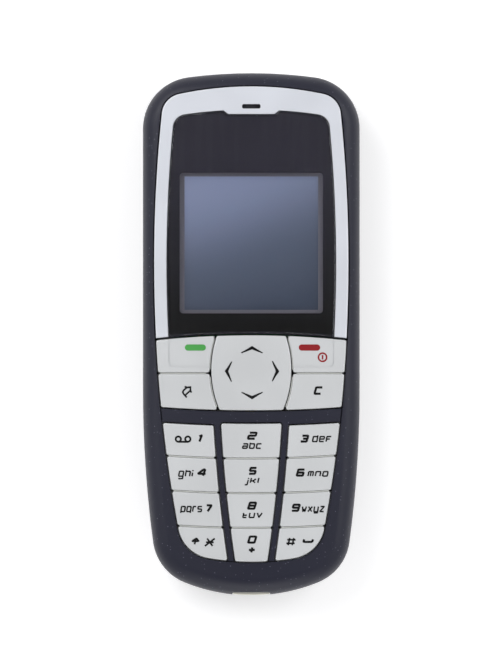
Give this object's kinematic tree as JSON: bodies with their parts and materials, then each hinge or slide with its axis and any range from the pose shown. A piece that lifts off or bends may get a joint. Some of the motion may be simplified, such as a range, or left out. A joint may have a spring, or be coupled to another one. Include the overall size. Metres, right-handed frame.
{
  "type": "feature phone",
  "caption": "Candybar mobile phone with a keypad, a navigation key, a small display and a sliding battery cover.",
  "frame": {"origin": "middle of the flat back, under the middle of the body's plan", "axes": "+X to the user's right, +Y towards the earpiece, +Z out of the display"},
  "size_m": [0.0436, 0.105, 0.018],
  "materials": {
    "cover_soft_touch": "soft-touch",
    "housing_plastic": "fine matte",
    "release_plastic": "satin",
    "bezel_gloss": "gloss",
    "lens_clear": "gloss",
    "mask_film": "printed",
    "mesh_steel": "woven",
    "receiver_plastic": "satin",
    "gasket_foam": "foam",
    "display_frame": "satin",
    "display_glass": "gloss",
    "guide_acrylic": "clear",
    "flex_film": "satin",
    "key_plastic": "satin",
    "rocker_plastic": "satin",
    "mat_rubber": "translucent",
    "dome_film": "satin",
    "spring_steel": "bright",
    "board": "solder mask",
    "can_steel": "tin plated",
    "cell_steel": "satin",
    "surround_plastic": "satin",
    "connector_plastic": "satin",
    "socket_metal": "plated",
    "microphone_metal": "satin",
    "boot_rubber": "matte",
    "speaker_plastic": "satin",
    "motor_steel": "plated",
    "weight_metal": "sintered",
    "carrier_plastic": "satin",
    "aerial_brass": "satin",
    "battery_plastic": "satin",
    "contact_brass": "gold plated",
    "sim_plastic": "satin",
    "screw_steel": "blackened"
  },
  "bodies": {
    "root": {"antenna_carrier": "carrier_plastic", "antenna_plate": "aerial_brass", "backup_cell": "cell_steel", "battery_contacts": "contact_brass", "battery_pack": "battery_plastic", "charge_socket": "socket_metal", "connector_surround": "surround_plastic", "display_bezel": "bezel_gloss", "display_gasket": "gasket_foam", "display_lens": "lens_clear", "dome_sheet": "dome_film", "earpiece_mesh": "mesh_steel", "earpiece_receiver": "receiver_plastic", "front_cover": "cover_soft_touch", "housing_screws": "screw_steel", "interface_connector": "connector_plastic", "key_domes": "spring_steel", "keypad_mat": "mat_rubber", "lcd_flex": "flex_film", "lcd_frame": "display_frame", "lcd_light_guide": "guide_acrylic", "lcd_panel": "display_glass", "lens_mask": "mask_film", "logic_shield_can": "can_steel", "loudspeaker": "speaker_plastic", "main_board": "board", "microphone": "microphone_metal", "microphone_boot": "boot_rubber", "motor_boot": "boot_rubber", "radio_shield_can": "can_steel", "rear_housing": "housing_plastic", "sim_holder": "can_steel", "speaker_gasket": "gasket_foam", "vibration_motor": "motor_steel"},
    "key_1": {"key_1": "key_plastic"},
    "key_2": {"key_2": "key_plastic"},
    "key_3": {"key_3": "key_plastic"},
    "key_4": {"key_4": "key_plastic"},
    "key_5": {"key_5": "key_plastic"},
    "key_6": {"key_6": "key_plastic"},
    "key_7": {"key_7": "key_plastic"},
    "key_8": {"key_8": "key_plastic"},
    "key_9": {"key_9": "key_plastic"},
    "key_star": {"key_star": "key_plastic"},
    "key_0": {"key_0": "key_plastic"},
    "key_hash": {"key_hash": "key_plastic"},
    "send_key": {"send_key": "key_plastic"},
    "end_key": {"end_key": "key_plastic"},
    "shortcut_key": {"shortcut_key": "key_plastic"},
    "clear_key": {"clear_key": "key_plastic"},
    "navigation_plunger": {"navigation_plunger": "mat_rubber"},
    "navigation_rocker": {"navigation_rocker": "rocker_plastic"},
    "navigation_key": {"navigation_key": "key_plastic"},
    "vibration_weight": {"vibration_weight": "weight_metal"},
    "sim_card": {"sim_card": "sim_plastic"},
    "battery_cover": {"battery_cover": "housing_plastic"},
    "cover_release": {"cover_release": "release_plastic"}
  },
  "joints": [
    {"name": "key_1_press", "type": "slide", "parent": "root", "child": "key_1", "axis": [0, 0, -1], "range_m": [0, 0.0004], "stiffness_N_per_m": 900},
    {"name": "key_2_press", "type": "slide", "parent": "root", "child": "key_2", "axis": [0, 0, -1], "range_m": [0, 0.0004], "stiffness_N_per_m": 900},
    {"name": "key_3_press", "type": "slide", "parent": "root", "child": "key_3", "axis": [0, 0, -1], "range_m": [0, 0.0004], "stiffness_N_per_m": 900},
    {"name": "key_4_press", "type": "slide", "parent": "root", "child": "key_4", "axis": [0, 0, -1], "range_m": [0, 0.0004], "stiffness_N_per_m": 900},
    {"name": "key_5_press", "type": "slide", "parent": "root", "child": "key_5", "axis": [0, 0, -1], "range_m": [0, 0.0004], "stiffness_N_per_m": 900},
    {"name": "key_6_press", "type": "slide", "parent": "root", "child": "key_6", "axis": [0, 0, -1], "range_m": [0, 0.0004], "stiffness_N_per_m": 900},
    {"name": "key_7_press", "type": "slide", "parent": "root", "child": "key_7", "axis": [0, 0, -1], "range_m": [0, 0.0004], "stiffness_N_per_m": 900},
    {"name": "key_8_press", "type": "slide", "parent": "root", "child": "key_8", "axis": [0, 0, -1], "range_m": [0, 0.0004], "stiffness_N_per_m": 900},
    {"name": "key_9_press", "type": "slide", "parent": "root", "child": "key_9", "axis": [0, 0, -1], "range_m": [0, 0.0004], "stiffness_N_per_m": 900},
    {"name": "key_star_press", "type": "slide", "parent": "root", "child": "key_star", "axis": [0, 0, -1], "range_m": [0, 0.0004], "stiffness_N_per_m": 900},
    {"name": "key_0_press", "type": "slide", "parent": "root", "child": "key_0", "axis": [0, 0, -1], "range_m": [0, 0.0004], "stiffness_N_per_m": 900},
    {"name": "key_hash_press", "type": "slide", "parent": "root", "child": "key_hash", "axis": [0, 0, -1], "range_m": [0, 0.0004], "stiffness_N_per_m": 900},
    {"name": "send_key_press", "type": "slide", "parent": "root", "child": "send_key", "axis": [0, 0, -1], "range_m": [0, 0.0004], "stiffness_N_per_m": 900},
    {"name": "end_key_press", "type": "slide", "parent": "root", "child": "end_key", "axis": [0, 0, -1], "range_m": [0, 0.0004], "stiffness_N_per_m": 900},
    {"name": "shortcut_key_press", "type": "slide", "parent": "root", "child": "shortcut_key", "axis": [0, 0, -1], "range_m": [0, 0.0004], "stiffness_N_per_m": 900},
    {"name": "clear_key_press", "type": "slide", "parent": "root", "child": "clear_key", "axis": [0, 0, -1], "range_m": [0, 0.0004], "stiffness_N_per_m": 900},
    {"name": "navigation_press", "type": "slide", "parent": "root", "child": "navigation_plunger", "axis": [0, 0, -1], "range_m": [0, 0.0004], "stiffness_N_per_m": 1200},
    {"name": "navigation_tilt_up_down", "type": "hinge", "parent": "navigation_plunger", "child": "navigation_rocker", "pos_m": [0, -0.00773, 0.0143], "axis": [1, 0, 0], "range_deg": [-1.5, 1.5], "stiffness_Nm_per_rad": 0.3},
    {"name": "navigation_tilt_left_right", "type": "hinge", "parent": "navigation_rocker", "child": "navigation_key", "pos_m": [0, -0.00773, 0.0143], "axis": [0, 1, 0], "range_deg": [-1.5, 1.5], "stiffness_Nm_per_rad": 0.3},
    {"name": "vibration_spin", "type": "hinge", "parent": "root", "child": "vibration_weight", "pos_m": [0.014, 0.045, 0.0076], "axis": [0, 1, 0], "continuous": true},
    {"name": "sim_card_slide", "type": "slide", "parent": "root", "child": "sim_card", "axis": [0, -1, 0], "range_m": [0, 0.012]},
    {"name": "battery_cover_slide", "type": "slide", "parent": "root", "child": "battery_cover", "axis": [0, -1, 0], "range_m": [0, 0.01]},
    {"name": "cover_release_press", "type": "slide", "parent": "root", "child": "cover_release", "axis": [0, 0, 1], "range_m": [0, 0.0008], "stiffness_N_per_m": 1500}
  ]
}
